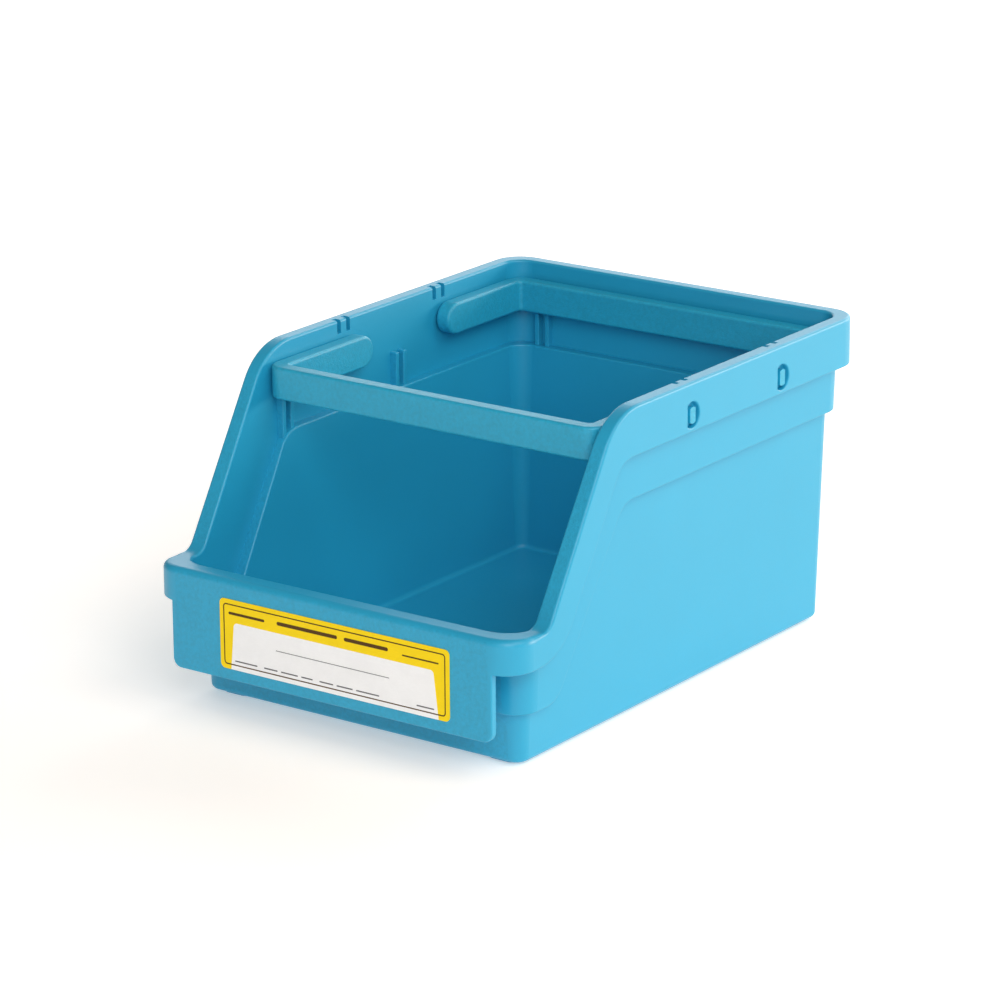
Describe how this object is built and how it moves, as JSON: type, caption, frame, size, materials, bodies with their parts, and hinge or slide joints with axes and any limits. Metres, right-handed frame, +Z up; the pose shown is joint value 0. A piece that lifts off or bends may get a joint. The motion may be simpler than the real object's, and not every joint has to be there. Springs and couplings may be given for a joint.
{
  "type": "stackable storage bin",
  "caption": "Open-fronted stacking storage bin with a scooped mouth, a label panel on the lip and swinging U-shaped bars that carry the next bin.",
  "frame": {"origin": "middle of the footprint on the surface that the rails stand on", "axes": "+X across the bin to the right as seen from the front, -Y towards the open front, +Z up"},
  "size_m": [0.13, 0.1832, 0.097],
  "materials": {
    "bin_plastic": "satin moulded polypropylene, fine grain on the front face",
    "bar_plastic": "satin moulded polypropylene, fine grain",
    "label_paper": "coated paper label, yellow and white print"
  },
  "bodies": {
    "bin": {"bin_shell": "bin_plastic", "label_sticker": "label_paper"},
    "front_bar": {"front_bar": "bar_plastic"},
    "rear_bar": {"rear_bar": "bar_plastic"}
  },
  "joints": [
    {"name": "front_bar_hinge", "type": "hinge", "parent": "bin", "child": "front_bar", "pos_m": [0, -0.0015, 0.0868], "axis": [-1, 0, 0], "range_deg": [0, 180]},
    {"name": "rear_bar_hinge", "type": "hinge", "parent": "bin", "child": "rear_bar", "pos_m": [0, 0.047, 0.0868], "axis": [1, 0, 0], "range_deg": [0, 100]}
  ]
}
